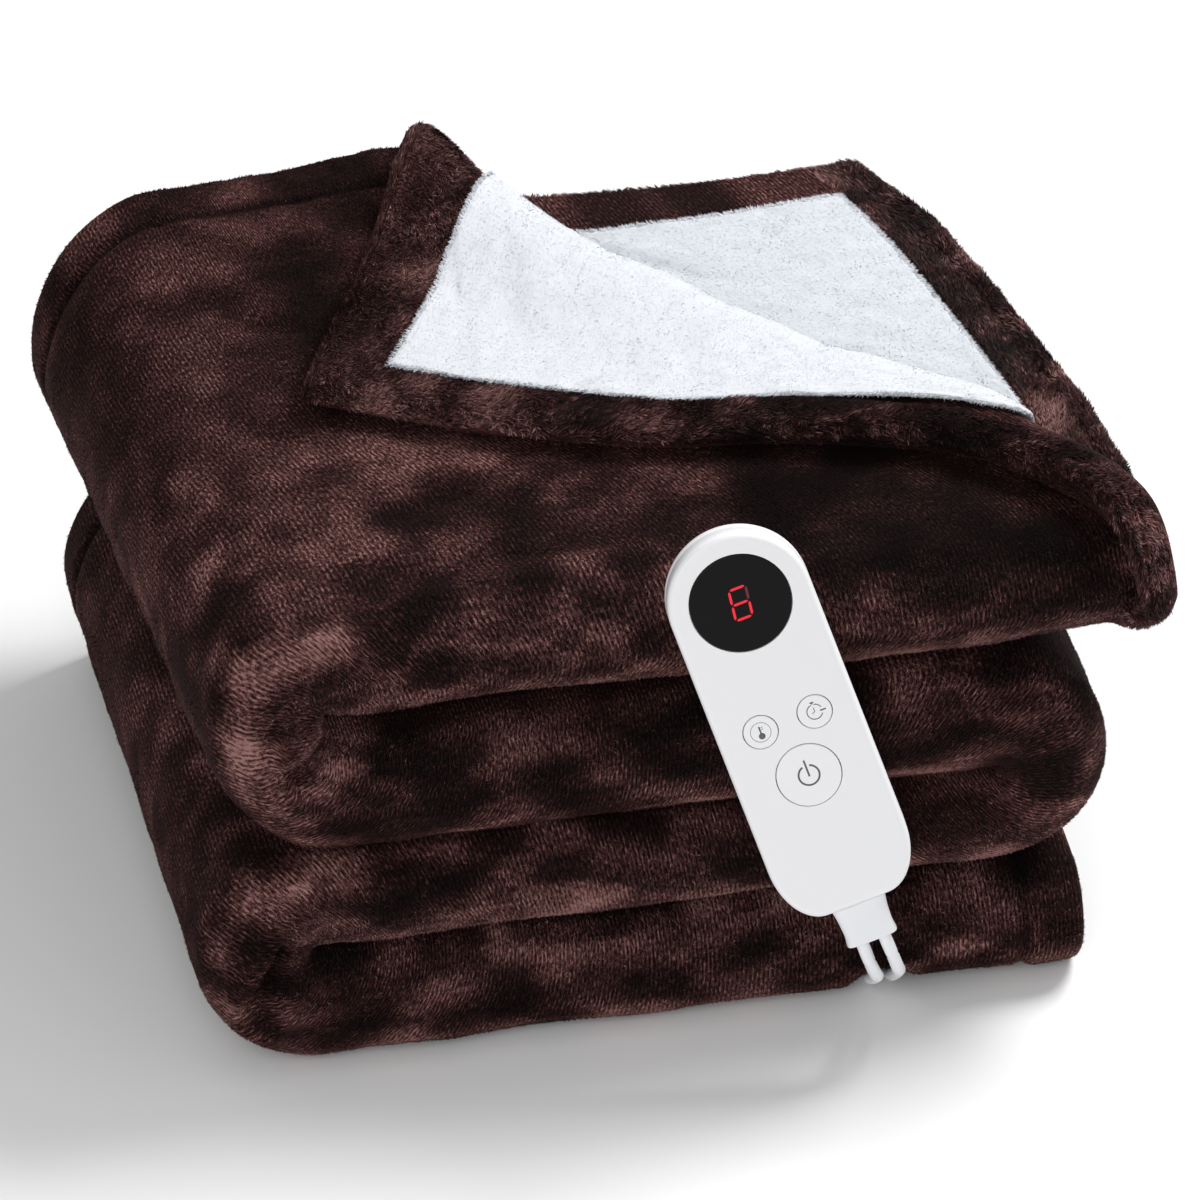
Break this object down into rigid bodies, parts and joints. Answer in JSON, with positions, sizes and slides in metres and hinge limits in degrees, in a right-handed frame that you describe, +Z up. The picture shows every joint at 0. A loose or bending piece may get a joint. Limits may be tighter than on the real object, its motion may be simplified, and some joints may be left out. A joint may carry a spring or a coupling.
{
  "type": "electric heated blanket",
  "caption": "Plush heated throw folded into a square stack, one corner turned back to show its fleece lining, with a wired hand control leaning on its front.",
  "frame": {"origin": "middle of the folded stack's flat underside, on the surface it rests on", "axes": "+X to the right along the stack's front, +Y to its back, +Z up"},
  "size_m": [0.4259, 0.4897, 0.242],
  "materials": {
    "flannel": "brown plush flannel with a soft nap",
    "fleece": "white fleece",
    "white_plastic": "matte white",
    "key_plastic": "matte white keys with grey printed icons",
    "display": "black window over a red digit",
    "cord_jacket": "white flexible jacket",
    "plug_metal": "plated",
    "tie": "black strap"
  },
  "bodies": {
    "root": {"blanket": "flannel", "fleece_flap": "fleece", "fleece_inner": "fleece", "handset_front": "white_plastic", "handset_back": "white_plastic", "display_window": "display", "cord_boot": "cord_jacket", "mains_lead": "cord_jacket", "mains_coil": "cord_jacket", "mains_tail": "cord_jacket", "coil_tie": "tie", "plug_relief": "cord_jacket", "mains_plug": "cord_jacket", "plug_blade_left": "plug_metal", "plug_blade_right": "plug_metal", "blanket_lead": "cord_jacket", "lead_connector": "white_plastic"},
    "power_button": {"power_button": "key_plastic"},
    "heat_button": {"heat_button": "key_plastic"},
    "timer_button": {"timer_button": "key_plastic"}
  },
  "joints": [
    {"name": "power_press", "type": "slide", "parent": "root", "child": "power_button", "axis": [0.1, 0.9511, -0.2924], "range_m": [0, 0.0008], "stiffness_N_per_m": 2500},
    {"name": "heat_press", "type": "slide", "parent": "root", "child": "heat_button", "axis": [0.1, 0.9511, -0.2924], "range_m": [0, 0.0008], "stiffness_N_per_m": 2500},
    {"name": "timer_press", "type": "slide", "parent": "root", "child": "timer_button", "axis": [0.1, 0.9511, -0.2924], "range_m": [0, 0.0008], "stiffness_N_per_m": 2500}
  ]
}
